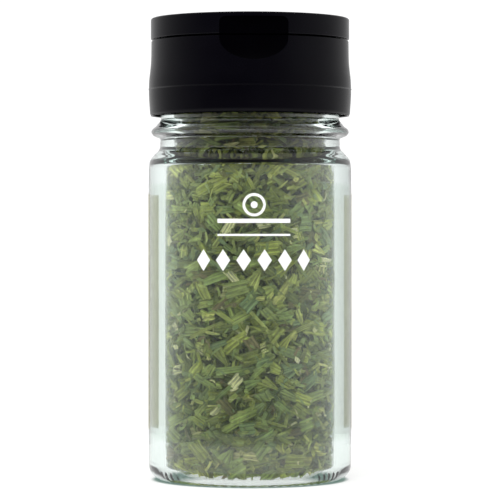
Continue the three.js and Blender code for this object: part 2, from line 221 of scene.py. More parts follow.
JAR_RADIUS = 22.5
FOOT_RADIUS = 19.2  # where the heel meets the ground
FOOT_RING = 1.2  # width of the ring that the jar stands on
HEEL = 3.3  # radius of its curve
PUNT = 0.8  # how far the middle is raised
BASE_TOP = 1.6  # top of the base inside, at its edge
BASE_MIDDLE = 2.9
BORE = 18.9
BORE_CORNER = 2.2
BORE_TOP = 69.0  # where the inside starts to narrow
BODY_TOP = 69.0
SHOULDER = [(22.5, 69.0), (22.21, 70.9), (21.23, 72.2), (20.1, 73.5), (19.95, 75.3)]
INNER_SHOULDER = [(17.07, 71.9), (17.25, 71.3), (17.98, 70.5), (18.72, 69.7), (18.9, 69.1)]
NECK_BORE = 17.07
NECK_LOW = 75.4
BEAD_LOW, BEAD_TIP, BEAD_HIGH = 75.75, 77.3, 79.1
BEAD_RADIUS = 22.17
FINISH = 19.85  # outside of the neck above the bead
FINISH_LOW, FINISH_HIGH = 82, 93  # the stretch of it that carries the thread
LAND = 95.9  # top of the glass

KNURLS = 60
KNURL_DEPTH = 0.1
KNURL_LEAN = 0.75  # sideways, for each millimetre outwards
KNURL_REACH = (17.9, 18.6, 20.1, 20.9)  # radii between which they grow, stay and fade

THREAD_PITCH = 4.2
THREAD_TURNS = 1.5
THREAD_START = 84.2
THREAD_HEIGHT = 0.9
THREAD_ROOT, THREAD_CREST = 1.0, 0.4  # half widths
THREAD_RUN_OUT = 1 / 6  # of a turn

JAR_COLUMNS = KNURLS * 8


def rounded(*corners, steps=5):
    """A profile through (radius, height) corners, where a third number rounds a corner by that radius."""
    points = []
    for i, (r, z, *size) in enumerate(corners):
        if not size:
            points.append((r, z))
            continue
        here = np.array((r, z), float)
        sides = [np.array(corners[k][:2], float) - here for k in (i - 1, (i + 1) % len(corners))]
        before, after = (side / np.linalg.norm(side) for side in sides)
        half_angle = math.acos(float(np.clip(before @ after, -1, 1))) / 2
        reach = size[0] / math.tan(half_angle)
        for t in np.linspace(0, 1, steps + 1):
            points.append(tuple(here + before * reach * (1 - t) ** 2 + after * reach * t ** 2))
    return points


def flowing(points, steps=5):
    """A smooth curve through the points."""
    p = [np.array(q, float) for q in points]
    p = [2 * p[0] - p[1], *p, 2 * p[-1] - p[-2]]
    curve = []
    for a, b, c, d in zip(p, p[1:], p[2:], p[3:]):
        for t in np.arange(steps) / steps:
            curve.append(tuple(0.5 * (
                2 * b + (c - a) * t + (2 * a - 5 * b + 4 * c - d) * t ** 2 + (3 * b - a - 3 * c + d) * t ** 3
            )))
    return [*curve, tuple(p[-2])]


def arc(centre, radius, start, end, steps):
    angles = np.radians(np.linspace(start, end, steps + 1))
    return [(centre[0] + radius * math.cos(a), centre[1] + radius * math.sin(a)) for a in angles]


def rungs(radius, low, high, count):
    """Points up or down a straight wall, both ends left out."""
    return [(radius, low + (high - low) * i / (count + 1)) for i in range(1, count + 1)]


def smooth_step(x, low, high):
    t = np.clip((x - low) / (high - low), 0, 1)
    return t * t * (3 - 2 * t)


def turned(name, profile, columns, relief=None, closed=False):
    """Turns a profile round +Z into a closed skin, facing outwards where the profile runs up its outside.
    A profile starts and ends on the axis, or is closed. relief says how far each point moves out."""
    line = np.array(profile, float)
    angles = np.linspace(0, math.tau, columns, endpoint=False)
    around = np.roll(line, -1, 0) - np.roll(line, 1, 0)
    if not closed:
        around[0], around[-1] = line[1] - line[0], line[-1] - line[-2]
    normal = np.stack([around[:, 1], -around[:, 0]], 1)
    normal /= np.maximum(np.linalg.norm(normal, axis=1, keepdims=True), 1e-9)
    radius = np.repeat(line[:, :1], columns, 1)
    height = np.repeat(line[:, 1:], columns, 1)
    if relief:
        out = relief(angles[None, :], radius, height)
        radius = radius + out * normal[:, :1]
        height = height + out * normal[:, 1:]
    rings, points = [], []
    for r, z in zip(radius, height):
        pole = max(r) < 1e-6
        first = len(points)
        if pole:
            points.append((0, 0, z[0]))
        else:
            points.extend(np.stack([r * np.cos(angles), r * np.sin(angles), z], 1))
        rings.append([first] * columns if pole else list(range(first, first + columns)))
    if closed:
        rings.append(rings[0])
    faces = []
    for low, high in zip(rings, rings[1:]):
        for j in range(columns):
            k = (j + 1) % columns
            corners = list(dict.fromkeys((low[j], low[k], high[k], high[j])))
            if len(corners) > 2:
                faces.append(corners)
    made = link_in(name, surface(name, points, faces))
    made.data.shade_smooth()
    return made


def thread(angle, z, start, height):
    """How far a screw thread stands out of its wall."""
    ridge = np.zeros(np.broadcast(angle, z).shape)
    for turn in range(math.ceil(THREAD_TURNS)):
        done = angle / math.tau + turn
        off = np.abs(z - start - THREAD_PITCH * done)
        section = np.clip((THREAD_ROOT - off) / (THREAD_ROOT - THREAD_CREST), 0, 1)
        grown = np.clip(np.minimum(done, THREAD_TURNS - done) / THREAD_RUN_OUT, 0, 1)
        ridge = np.maximum(ridge, height * section * grown)
    return ridge


def jar_relief(angle, r, z):
    lean = KNURL_LEAN * (r - FOOT_RADIUS) / FOOT_RADIUS
    band = smooth_step(r, *KNURL_REACH[:2]) * (1 - smooth_step(r, *KNURL_REACH[2:])) * (z < HEEL / 2)
    valley = 0.5 - 0.5 * np.cos(KNURLS * (angle + lean))
    outside = (r > FINISH - 0.01) & (z > BEAD_HIGH)
    return thread(angle, z, THREAD_START, THREAD_HEIGHT) * outside - KNURL_DEPTH * band * valley


def inner_wall(z):
    """Radius of the inside of the glass at a height."""
    corner = np.clip(BASE_TOP + BORE_CORNER - z, 0, BORE_CORNER)
    curve = BORE_CORNER - np.sqrt(BORE_CORNER ** 2 - corner ** 2)
    up = sorted(INNER_SHOULDER, key=lambda point: point[1])
    return np.interp(z, [p[1] for p in up], [p[0] for p in up]) - curve


def inner_floor(r):
    """Height of the inside of the base at a radius."""
    return BASE_MIDDLE - (BASE_MIDDLE - BASE_TOP) * np.clip(r / (BORE - BORE_CORNER), 0, 1) ** 2


jar_profile = [
    (0, PUNT),
    *rounded(
        (8, PUNT), (FOOT_RADIUS - FOOT_RING - 2.2, PUNT, 1.5), (FOOT_RADIUS - FOOT_RING, 0, 0.5),
        (FOOT_RADIUS, 0),
    )[:-1],
    *arc((FOOT_RADIUS, HEEL), HEEL, -90, 0, 16),
    *rungs(JAR_RADIUS, HEEL, BODY_TOP, 3),
    *flowing(SHOULDER, 5),
    *rounded(
        (FINISH + 0.1, NECK_LOW), (FINISH + 0.1, BEAD_LOW, 0.35), (21.4, BEAD_TIP - 1.0, 0.7),
        (BEAD_RADIUS + 0.3, BEAD_TIP, 1.1), (21.0, BEAD_TIP + 1.1, 0.9), (FINISH, BEAD_HIGH + 0.7, 0.9),
        (FINISH, FINISH_LOW),
    )[1:],
    *rungs(FINISH, FINISH_LOW, FINISH_HIGH, 27),
    *rounded((FINISH, FINISH_HIGH), (FINISH, LAND, 0.6), (NECK_BORE, LAND, 0.6), (NECK_BORE, 90))[:-1],
    *rungs(NECK_BORE, 90, INNER_SHOULDER[0][1], 2),
    *flowing(INNER_SHOULDER, 6),
    *rungs(BORE, BORE_TOP, BASE_TOP + BORE_CORNER, 3),
    *arc((BORE - BORE_CORNER, BASE_TOP + BORE_CORNER), BORE_CORNER, 0, -90, 8),
    *[(r, float(inner_floor(r))) for r in (14, 10, 5, 0)],
]
glass_jar = turned("glass_jar_clear", jar_profile, JAR_COLUMNS, jar_relief)

# Soda-lime glass, blown: clear and glossy with long shallow waves, and a faint green where it is thick.
clear_glass, tree, place = material("soda_lime_glass")
waves = node(tree, "ShaderNodeTexNoise", {"Vector": place, "Scale": 90.0, "Detail": 1.0})
ripple = node(tree, "ShaderNodeBump", {"Strength": 0.12, "Distance": 0.0004, "Height": waves})
glass = node(tree, "ShaderNodeBsdfPrincipled", {
    "Base Color": (1, 1, 1, 1), "Roughness": 0.0, "IOR": 1.52, "Transmission Weight": 1.0, "Normal": ripple,
})
depth = node(tree, "ShaderNodeVolumeAbsorption", {"Color": linear("#c8e6dd"), "Density": 45.0})
node(tree, "ShaderNodeOutputMaterial", {"Surface": glass, "Volume": depth})
glass_jar.data.materials.append(clear_glass)
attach(glass_jar, "jar")
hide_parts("glass_jar")

# ---- Dried chives ----
# The filling: chives cut into short lengths and air-dried, so that the hollow leaves have split,
# flattened and curled. They lie every way, and the outermost are pressed flat on the glass.

FILL_SEED = 20817
FILL_TOP = 86.0
GLASS_GAP = 0.07  # between the outermost pieces and the glass
PRESSED = 0.35  # how far in from the glass the pieces are squeezed
RIB = 0.07  # how far every second line along a leaf stands up
RIBS = 3
TORN, CRUMPLED = 0.42, 0.12  # how ragged the cut ends are, and how uneven the skin
FRAYED = (0.84, 1.12)  # least and greatest width along a piece
BED_SIDES, CORE_SIDES, DUST_SIDES = 96, 64, 192
WIDER = (0.8, 1.35)  # least and greatest stretch of a piece across, where it is strewn
DENSEST = 4e6  # more pieces than the spacing ever leaves, for a square metre

LEAF_COLOURS = (
    (0.0, "#867653"), (0.08, "#7d854a"), (0.26, "#a3a858"), (0.42, "#82956a"), (0.6, "#b6bb5e"),
    (0.78, "#94a666"), (0.93, "#cdcd78"), (1.0, "#efe9c2"),
)
CUT_COLOUR = "#b4b27e"
SHADE_DEPTH = 4.0  # where the painted shade between the pieces is full
SHADE_BY_HEIGHT = [  # (height, how much further in a piece is painted as lying): painted shade at the foot and under the cap
    (9, 0.9), (14, 0.5), (26, 0), (50, 0), (62, 0.4), (69.5, 1.0), (71.5, 2.6), (80, 3.5),
]
DUST_COLOUR = "#d3d7c8"
DUST_OUTER, DUST_INNER = 0.02, 0.045  # how far in from the glass its two faces lie
DUST_HEIGHTS = (3.0, 20, 40, 60, 68.4, 69.4)


def crisp(made, degrees):
    """Makes an object smooth, with its edges sharp where they turn by more than this."""
    made.data.shade_smooth()
    made.data.set_sharp_from_angle(angle=math.radians(degrees))
    return made


def chopped_piece(
    name, length, width, roll, bend=0.0, twist=0.0, askew=0.0, taper=0.0, wall=0.15, across=2 * RIBS, along=3,
):
    """One piece of leaf along X, a closed shell: ribbed, rolled across, bent, twisted, cut askew and torn."""
    torn = draw.uniform(-TORN, TORN, (2, across + 1))
    frayed = draw.uniform(*FRAYED, along + 1)
    crumple = draw.uniform(-CRUMPLED, CRUMPLED, (along + 1, across + 1))
    sheets = []
    for side in (0.5, -0.5):
        grid = []
        for i in range(along + 1):
            u = 2 * i / along - 1
            for j in range(across + 1):
                v = 2 * j / across - 1
                half_width = width / 2 * (1 - taper * (u + 1) / 2) * frayed[i]
                a = v * roll / 2
                bow = half_width / (roll / 2)
                skin = bow + side * wall + RIB * (j % 2)
                y, z = skin * math.sin(a), skin * math.cos(a) - bow
                turn = twist * u
                y, z = y * math.cos(turn) - z * math.sin(turn), y * math.sin(turn) + z * math.cos(turn)
                ragged = torn[1, j] if i == along else torn[0, j] if i == 0 else 0
                grid.append((
                    length / 2 * u + askew * v * half_width + ragged, y, z - bend * u * u + crumple[i, j],
                ))
        sheets.append(grid)
    size = len(grid)

    def at(i, j, sheet):
        return sheet * size + i * (across + 1) + j

    faces = []
    for i in range(along):
        for j in range(across):
            faces.append((at(i, j, 0), at(i + 1, j, 0), at(i + 1, j + 1, 0), at(i, j + 1, 0)))
            faces.append((at(i, j, 1), at(i, j + 1, 1), at(i + 1, j + 1, 1), at(i + 1, j, 1)))
    border = [(i, 0) for i in range(along)] + [(along, j) for j in range(across)]
    border += [(i, across) for i in range(along, 0, -1)] + [(0, j) for j in range(across, 0, -1)]
    for here, there in zip(border, border[1:] + border[:1]):
        faces.append((at(*here, 0), at(*here, 1), at(*there, 1), at(*there, 0)))
    made = crisp(bpy.data.objects.new(name, surface(name, sheets[0] + sheets[1], faces)), degrees=55)
    leaf_map = made.data.uv_layers.new(name="leaf")
    for loop in made.data.loops:
        k = loop.vertex_index % size
        leaf_map.data[loop.index].uv = (k // (across + 1) / along, k % (across + 1) / across)
    return made


def cut_up(name, kind, sizes, **shared):
    """A collection of pieces of leaf, from the (length, width, roll, shape) of each."""
    made = bpy.data.collections.new(name)
    for i, (length, width, roll, shape) in enumerate(sizes):
        made.objects.link(chopped_piece(f"{kind}_{i}", length, width, roll, **shape, **shared))
    return made


def empty_tree(name, taken, left, **sizes):
    """A Geometry Nodes tree and its inputs: the geometry it takes, and the names of its sizes by kind."""
    tree = bpy.data.node_groups.new(name, "GeometryNodeTree")
    for kind, labels in {"Geometry": [taken], **sizes}.items():
        for label in labels:
            tree.interface.new_socket(label, in_out="INPUT", socket_type="NodeSocket" + kind)
    tree.interface.new_socket(left, in_out="OUTPUT", socket_type="NodeSocketGeometry")
    return tree, node(tree, "NodeGroupInput").outputs


def made_real(tree, instances, finish):
    """Instances as one geometry, in their material."""
    real = node(tree, "GeometryNodeRealizeInstances", {0: instances})
    return node(tree, "GeometryNodeSetMaterial", {"Geometry": real, "Material": finish})


def strewing_tree(name, leaf):
    """Geometry Nodes that strew pieces of leaf over a bed, with a fixed seed and named inputs for how close,
    how steep, how far turned and how deep they lie."""
    tree, given = empty_tree(
        name, "Bed", "Strewn", Collection=["Pieces"],
        Float=["Spacing", "Tilt", "Turn", "Depth", "Smallest", "Largest"], Int=["Kinds", "Seed"],
    )

    def drawn(offset, kind, low, high):
        seed = node(tree, "ShaderNodeMath", {0: given["Seed"], 1: offset}, operation="ADD")
        lowest, highest, result = {"FLOAT_VECTOR": (0, 1, 0), "FLOAT": (2, 3, 1), "INT": (4, 5, 2)}[kind]
        sockets = {"Seed": seed, lowest: low, highest: high}
        return node(tree, "FunctionNodeRandomValue", sockets, data_type=kind).outputs[result]

    spots = node(tree, "GeometryNodeDistributePointsOnFaces", {
        "Mesh": given["Bed"], "Distance Min": given["Spacing"], "Density Max": DENSEST, "Seed": given["Seed"],
    }, distribute_method="POISSON")
    one_way = node(tree, "ShaderNodeCombineXYZ", {0: given["Tilt"], 1: given["Tilt"], 2: given["Turn"]})
    other_way = node(tree, "ShaderNodeVectorMath", {0: one_way, "Scale": -1.0}, operation="SCALE")
    turn = drawn(1, "FLOAT_VECTOR", other_way, one_way)
    facing = node(tree, "FunctionNodeRotateRotation", {
        0: spots.outputs["Rotation"], 1: node(tree, "FunctionNodeEulerToRotation", {0: turn}),
    }, rotation_space="LOCAL")
    stretch = node(tree, "ShaderNodeCombineXYZ", {
        0: drawn(2, "FLOAT", given["Smallest"], given["Largest"]), 1: drawn(3, "FLOAT", *WIDER), 2: 1.0,
    })
    kinds = node(tree, "GeometryNodeCollectionInfo", {
        "Collection": given["Pieces"], "Separate Children": True, "Reset Children": True,
    })
    last = node(tree, "ShaderNodeMath", {0: given["Kinds"], 1: 1.0}, operation="SUBTRACT")
    inwards = node(tree, "ShaderNodeMath", {0: given["Depth"], 1: -1.0}, operation="MULTIPLY")
    sunk = node(tree, "ShaderNodeVectorMath", {
        0: spots.outputs["Normal"], "Scale": drawn(5, "FLOAT", inwards, 0.0),
    }, operation="SCALE")
    lowered = node(tree, "GeometryNodeSetPosition", {"Geometry": spots.outputs["Points"], "Offset": sunk})
    pieces = node(tree, "GeometryNodeInstanceOnPoints", {
        "Points": lowered, "Instance": kinds, "Pick Instance": True,
        "Instance Index": drawn(4, "INT", 0, last), "Rotation": facing, "Scale": stretch,
    })
    toned = node(tree, "GeometryNodeStoreNamedAttribute", {
        "Geometry": pieces, "Name": "tone", "Value": drawn(6, "FLOAT", 0.0, 1.0),
    }, data_type="FLOAT", domain="INSTANCE")
    node(tree, "NodeGroupOutput", {0: made_real(tree, toned, leaf)})
    return tree


def grow(made, tree, **inputs):
    """Runs a Geometry Nodes tree on an object and leaves the outcome as its plain mesh."""
    modifier = made.modifiers.new(tree.name, "NODES")
    modifier.node_group = tree
    for item in tree.interface.items_tree:
        if item.item_type == "SOCKET" and item.in_out == "INPUT" and item.name in inputs:
            modifier[item.identifier] = inputs[item.name]
    return settle(made)


def settle(made):
    """Turns an object's evaluated modifiers into its plain mesh."""
    depsgraph = bpy.context.evaluated_depsgraph_get()
    mesh = bpy.data.meshes.new_from_object(
        made.evaluated_get(depsgraph), preserve_all_data_layers=True, depsgraph=depsgraph,
    )
    made.modifiers.clear()
    made.data = mesh
    mesh.name = made.name
    return made


# Dried leaf: matt, from brown through olive and grey-green to straw, with pale ribs along it and pale
# cut ends. Pieces further in from the glass get a painted shade, darker and greener, as if in the shade of
# those in front.
dried_leaf, tree, place = material("air_dried_leaf")
leaf_place = node(tree, "ShaderNodeUVMap", uv_map="leaf")
spread = node(tree, "ShaderNodeSeparateXYZ", {0: leaf_place}).outputs  # along, across
tone = node(tree, "ShaderNodeAttribute", attribute_name="tone").outputs["Fac"]
sunken = node(tree, "ShaderNodeAttribute", attribute_name="sunken").outputs["Fac"]
phase = node(tree, "ShaderNodeMath", {0: spread[1], 1: math.tau * RIBS}, operation="MULTIPLY")
furrow = node(tree, "ShaderNodeMath", {0: phase}, operation="COSINE")
rib = node(tree, "ShaderNodeMapRange", {0: furrow, 1: 1, 2: -1, 4: 0.2})
across = node(tree, "ShaderNodeMath", {0: spread[1], 1: 15.0}, operation="MULTIPLY")
apart = node(tree, "ShaderNodeMath", {0: tone, 1: 37.0}, operation="MULTIPLY")  # no two pieces alike
fibre_place = node(tree, "ShaderNodeCombineXYZ", {0: spread[0], 1: across, 2: apart})
fibre = node(tree, "ShaderNodeTexNoise", {"Vector": fibre_place, "Scale": 1.0, "Detail": 2.0})
blotch = node(tree, "ShaderNodeTexNoise", {"Vector": place, "Scale": 600.0, "Detail": 3.0})
lines = node(tree, "ShaderNodeMath", {0: rib, 1: fibre}, operation="ADD")
relief = node(tree, "ShaderNodeMath", {0: blotch, 1: 0.6, 2: lines}, operation="MULTIPLY_ADD")
strength = node(tree, "ShaderNodeMapRange", {0: relief, 1: 0.6, 2: 1.3, 3: 0.74, 4: 3.4})
hue = node(tree, "ShaderNodeValToRGB", {0: tone}, [(share, linear(code)) for share, code in LEAF_COLOURS])
toned = node(tree, "ShaderNodeVectorMath", {0: hue, "Scale": strength}, operation="SCALE")
from_middle = node(tree, "ShaderNodeMath", {0: spread[0], 1: 0.5}, operation="SUBTRACT")
off_middle = node(tree, "ShaderNodeMath", {0: from_middle}, operation="ABSOLUTE")
cut_end = node(tree, "ShaderNodeMapRange", {0: off_middle, 1: 0.44, 2: 0.5, 4: 0.35})
ended = node(tree, "ShaderNodeMix", {0: cut_end, 6: toned, 7: linear(CUT_COLOUR)}, data_type="RGBA")
# Painted shade: the colour is darkened and turned a deeper green by how far in a piece lies
shade = node(
    tree, "ShaderNodeValToRGB", {0: node(tree, "ShaderNodeMapRange", {0: sunken, 2: SHADE_DEPTH})},
    [(0.0, grey(1.0)), (0.2, (0.9, 0.9, 0.84, 1)), (0.45, (0.5, 0.51, 0.34, 1)), (1.0, (0.1, 0.1, 0.06, 1))],
)
leaf_colour = node(
    tree, "ShaderNodeMix", {0: 1.0, 6: ended.outputs[2], 7: shade}, data_type="RGBA", blend_type="MULTIPLY",
)
rib_bump = node(tree, "ShaderNodeBump", {"Strength": 0.6, "Distance": 0.00015, "Height": relief})
leaf_skin = node(tree, "ShaderNodeBsdfPrincipled", {
    "Base Color": leaf_colour.outputs[2], "Roughness": 0.6, "Specular IOR Level": 0.2, "Normal": rib_bump,
})
node(tree, "ShaderNodeOutputMaterial", {0: leaf_skin})

draw = np.random.default_rng(FILL_SEED)
chopped = cut_up("chopped pieces", "piece", (
    (4.8, 2.4, 1.7, {"bend": 0.15, "taper": 0.25}),  # split open, still a third of a tube
    (4.0, 3.0, -2.2, {"askew": 0.25}),  # the same, seen from inside
    (3.4, 3.0, 4.6, {}),  # nearly a whole tube
    (6.2, 1.9, 1.2, {"bend": 0.4, "twist": 0.2, "askew": 0.35}),
    (3.1, 3.3, 0.8, {"bend": -0.2, "askew": 0.1}),  # a flat square
    (3.8, 3.1, 0.9, {"taper": 0.85, "askew": 0.3}),  # torn to a point
    (2.8, 2.6, -1.6, {"askew": -0.4, "taper": 0.4}),
    (1.4, 4.6, 5.9, {}),  # a ring
    (6.8, 1.1, 1.6, {"bend": 0.5, "twist": 0.4, "taper": 0.3}),
    (3.6, 2.3, 2.8, {"bend": 0.25, "taper": 0.3}),
))
crumbs = cut_up("crumbs and slivers", "crumb", (
    (2.2, 0.7, 0.8, {"bend": 0.2, "twist": 0.3}),
    (1.2, 1.0, 0.8, {"bend": -0.1}),
    (3.2, 0.45, 0.6, {"bend": 0.4, "twist": 0.5}),
    (0.9, 0.8, 1.2, {}),
    (1.6, 0.5, 1.0, {"bend": -0.3}),
), wall=0.12, across=2, along=2)

strew = strewing_tree("Strew chopped leaf", dried_leaf)


def bed(inset, low, high):
    """A turned surface that follows the inside of the glass at a distance."""
    return [(float(inner_wall(z)) - inset, z) for z in np.linspace(low, high, 30)]


def points_of(made):
    """An object's points in millimetres, and their distances from the axis."""
    points = np.empty(len(made.data.vertices) * 3)
    made.data.vertices.foreach_get("co", points)
    points = points.reshape(-1, 3) / MM
    return points, np.hypot(points[:, 0], points[:, 1])


def store_painted_shade(made):
    """Stores how far in from the glass, the base or the top of the filling each point lies, in millimetres,
    for the leaf's painted shade. Under the cap and at the foot more painted shade is added, as if the pieces
    lay further in."""
    points, radius = points_of(made)
    z = points[:, 2]
    inwards = np.minimum(np.minimum(inner_wall(z) - radius, z - inner_floor(radius)), FILL_TOP - z)
    # extra painted shade by height, at the foot and under the cap
    inwards = inwards + np.interp(z, *zip(*SHADE_BY_HEIGHT))
    made.data.attributes.new("sunken", "FLOAT", "POINT").data.foreach_set("value", np.maximum(inwards, 0))


def packed(name, profile, pieces, seed, **inputs):
    """Pieces strewn over a turned bed, pushed back inside the glass and squeezed flat where they meet it."""
    made = turned(name, profile, BED_SIDES)
    grow(made, strew, Pieces=pieces, Kinds=len(pieces.objects), Seed=seed, **inputs)
    points, radius = points_of(made)
    points[:, 2] = np.maximum(points[:, 2], inner_floor(radius) + GLASS_GAP)
    limit = inner_wall(points[:, 2]) - GLASS_GAP
    beyond = np.maximum(radius - (limit - PRESSED), 0)
    squeezed = np.where(beyond > 0, limit - PRESSED * np.exp(-beyond / PRESSED), radius)
    points[:, :2] *= (squeezed / np.maximum(radius, 1e-6))[:, None]
    made.data.vertices.foreach_set("co", (points * MM).ravel())
    made.data.update()
    store_painted_shade(made)
    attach(made, "jar")
    return made


outer = packed(
    "chives_at_the_glass", bed(0.6, 2.6, FILL_TOP), chopped, FILL_SEED,
    Spacing=2.8 * MM, Tilt=0.4, Turn=1.15, Depth=0.8 * MM, Smallest=0.7, Largest=1.35,
)
packed(
    "chives_behind", bed(1.7, 3.2, FILL_TOP - 0.6), chopped, FILL_SEED + 100,
    Spacing=2.5 * MM, Tilt=0.8, Turn=1.3, Depth=0.9 * MM, Smallest=0.7, Largest=1.3,
)
packed(
    "chives_deep", bed(3.3, 3.8, FILL_TOP - 1.5), chopped, FILL_SEED + 200,
    Spacing=2.9 * MM, Tilt=0.9, Turn=1.3, Depth=0.6 * MM, Smallest=0.7, Largest=1.2,
)
packed(
    "chive_crumbs", bed(0.35, 2.0, FILL_TOP), crumbs, FILL_SEED + 300,
    Spacing=1.35 * MM, Tilt=0.7, Turn=1.5, Depth=1.3 * MM, Smallest=0.6, Largest=1.3,
)
packed(
    "chives_top_and_bottom",
    [
        (0.01, BASE_MIDDLE + 0.3), (17.4, BASE_TOP + 0.4), (17.4, BASE_TOP + 0.7), (14.0, FILL_TOP - 1),
        (0.01, FILL_TOP + 0.4),
    ],
    chopped, FILL_SEED + 400,
    Spacing=2.3 * MM, Tilt=0.5, Turn=math.pi, Depth=0.4 * MM, Smallest=0.5, Largest=1.0,
)

# Dust of the leaf clings to the glass below the neck, in thin clouds, and dulls what lies behind it.
clinging_dust, tree, place = material("leaf_dust_on_glass")
cloud = node(tree, "ShaderNodeTexNoise", {"Vector": place, "Scale": 150.0, "Detail": 4.0})
fines = node(tree, "ShaderNodeTexNoise", {"Vector": place, "Scale": 2600.0, "Detail": 1.0})
dusted = node(tree, "ShaderNodeMath", {0: cloud, 1: fines}, operation="MULTIPLY")
cover = node(tree, "ShaderNodeMapRange", {0: dusted, 1: 0.1, 2: 0.4, 3: 0.06, 4: 0.115})
powder = node(tree, "ShaderNodeBsdfDiffuse", {0: linear(DUST_COLOUR)})
bare = node(tree, "ShaderNodeBsdfTransparent")
veil = node(tree, "ShaderNodeMixShader", {0: cover, 1: bare, 2: powder})
node(tree, "ShaderNodeOutputMaterial", {0: veil})
dust_profile = [
    (float(inner_wall(z)) - gap, z)
    for gap, heights in ((DUST_OUTER, DUST_HEIGHTS), (DUST_INNER, DUST_HEIGHTS[::-1])) for z in heights
]
dust = turned("chive_dust", dust_profile, DUST_SIDES, closed=True)
dust.data.materials.append(clinging_dust)
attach(dust, "jar")

core_profile = [
    (0, 3.7), (14.5, 3.4), *bed(4.2, 4.5, FILL_TOP - 2.4), (9, FILL_TOP - 1.5), (0, FILL_TOP - 0.9),
]
core = turned("chives_core", core_profile, CORE_SIDES)
core.data.materials.append(dried_leaf)
store_painted_shade(core)
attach(core, "jar")
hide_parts("dried_chives")

# ---- Label ----
# One wrap of clear polypropylene film. The front carries a plain print in white ink. Round the back the
# film is printed solid in pale beige, in two panels, with a narrow gap where its ends meet.

LABEL_LOW, LABEL_HIGH = 9.4, 65.7
FILM_INNER, FILM_OUTER = 22.51, 22.57
LABEL_GAP = 2.6
FILM_COLUMNS, PANEL_COLUMNS = 240, 90
PANEL_LOW, PANEL_HIGH = 11.4, 63.5
PANEL_START = 82.7  # degrees from the front to each end of the solid print
PRINT_INNER, PRINT_OUTER = FILM_OUTER + 0.01, FILM_OUTER + 0.01 + 0.03
RING, RING_INNER, DOT, RING_HEIGHT = 2.5, 1.9, 0.75, 60.9
RULES = [(8.0, 57.0, 0.9), (8.0, 54.2, 0.45)]  # (half length, height, thickness)
LOZENGES = 6
LOZENGE_HALF, LOZENGE_TALL, LOZENGE_HEIGHT, LOZENGE_STEP = 1.55, 4.6, 49.0, 4.5
BLUNT = 0.02  # what is left of a mark's height at its tips


def sleeve(count):
    """The faces of a closed skin over this many four-cornered sections, one after another."""
    last = 4 * (count - 1)
    faces = [(0, 1, 2, 3), (last + 3, last + 2, last + 1, last)]
    for i in range(0, last, 4):
        for a, b in ((i, i + 1), (i + 1, i + 2), (i + 2, i + 3), (i + 3, i)):
            faces.append((a + 4, b + 4, b, a))
    return faces


def wrapped(name, inner, outer, columns):
    """A thin closed layer round the jar, from columns of (angle from the front, lowest, highest)."""
    points = [
        (r * math.sin(a), -r * math.cos(a), z)
        for a, low, high in columns for r, z in ((outer, low), (outer, high), (inner, high), (inner, low))
    ]
    return link_in(name, surface(name, points, sleeve(len(columns))))


def inked(name, columns):
    """A mark in ink on the front of the film, from columns of (distance round, lowest, highest)."""
    return wrapped(name, PRINT_INNER, PRINT_OUTER, [(x / PRINT_OUTER, low, high) for x, low, high in columns])


def layer(name, inner, outer, low, high, start, end, columns):
    """A layer of even height from one angle to another, in degrees from the front."""
    angles = np.radians(np.linspace(start, end, columns + 1))
    return crisp(wrapped(name, inner, outer, [(a, low, high) for a in angles]), degrees=40)


def row_tree(name, ink):
    """Geometry Nodes that repeat a mark in a row round the jar, its middle at the front."""
    tree, given = empty_tree(name, "Mark", "Row", Int=["Count"], Float=["Step"])
    spots = node(tree, "GeometryNodeMeshLine", {"Count": given["Count"], "Offset": (0, 0, 0)})
    steps = node(tree, "ShaderNodeMath", {0: given["Count"], 1: 1.0}, operation="SUBTRACT")
    middle = node(tree, "ShaderNodeMath", {0: steps, 1: 0.5}, operation="MULTIPLY")
    index = node(tree, "GeometryNodeInputIndex")
    place = node(tree, "ShaderNodeMath", {0: index, 1: middle}, operation="SUBTRACT")
    angle = node(tree, "ShaderNodeMath", {0: place, 1: given["Step"]}, operation="MULTIPLY")
    rotation = node(tree, "ShaderNodeCombineXYZ", {2: angle})
    marks = node(tree, "GeometryNodeInstanceOnPoints", {
        "Points": spots, "Instance": given["Mark"], "Rotation": rotation,
    })
    node(tree, "NodeGroupOutput", {0: made_real(tree, marks, ink)})
    return tree


half_gap = math.degrees(LABEL_GAP / FILM_OUTER)
film = layer(
    "label_film_clear", FILM_INNER, FILM_OUTER, LABEL_LOW, LABEL_HIGH,
    180 + half_gap, 540 - half_gap, FILM_COLUMNS,
)
panel = layer(
    "label_panel_beige", PRINT_INNER, PRINT_OUTER, PANEL_LOW, PANEL_HIGH,
    PANEL_START, 180 - half_gap, PANEL_COLUMNS,
)
panel_left = layer(
    "label_panel_beige_left", PRINT_INNER, PRINT_OUTER, PANEL_LOW, PANEL_HIGH,
    180 + half_gap, 360 - PANEL_START, PANEL_COLUMNS,
)

# Clear film: glossy and almost invisible, a thin sheen over the glass.
clear_film, tree, _ = material("clear_polypropylene_film")
sheen = node(tree, "ShaderNodeBsdfGlossy", {"Color": grey(1.0), "Roughness": 0.12})
through = node(tree, "ShaderNodeBsdfTransparent", {0: linear("#fbfcfb")})
slant = node(tree, "ShaderNodeLayerWeight", {"Blend": 0.5}).outputs["Facing"]
steepness = node(tree, "ShaderNodeMath", {0: slant, 1: 6.0}, operation="POWER")
back_side = node(tree, "ShaderNodeNewGeometry").outputs["Backfacing"]
front_side = node(tree, "ShaderNodeMath", {0: 1.0, 1: back_side}, operation="SUBTRACT")
edge_gloss = node(tree, "ShaderNodeMath", {0: steepness, 1: front_side}, operation="MULTIPLY")
clear = node(tree, "ShaderNodeMixShader", {0: edge_gloss, 1: through, 2: sheen})
node(tree, "ShaderNodeOutputMaterial", {0: clear})
film.data.materials.append(clear_film)

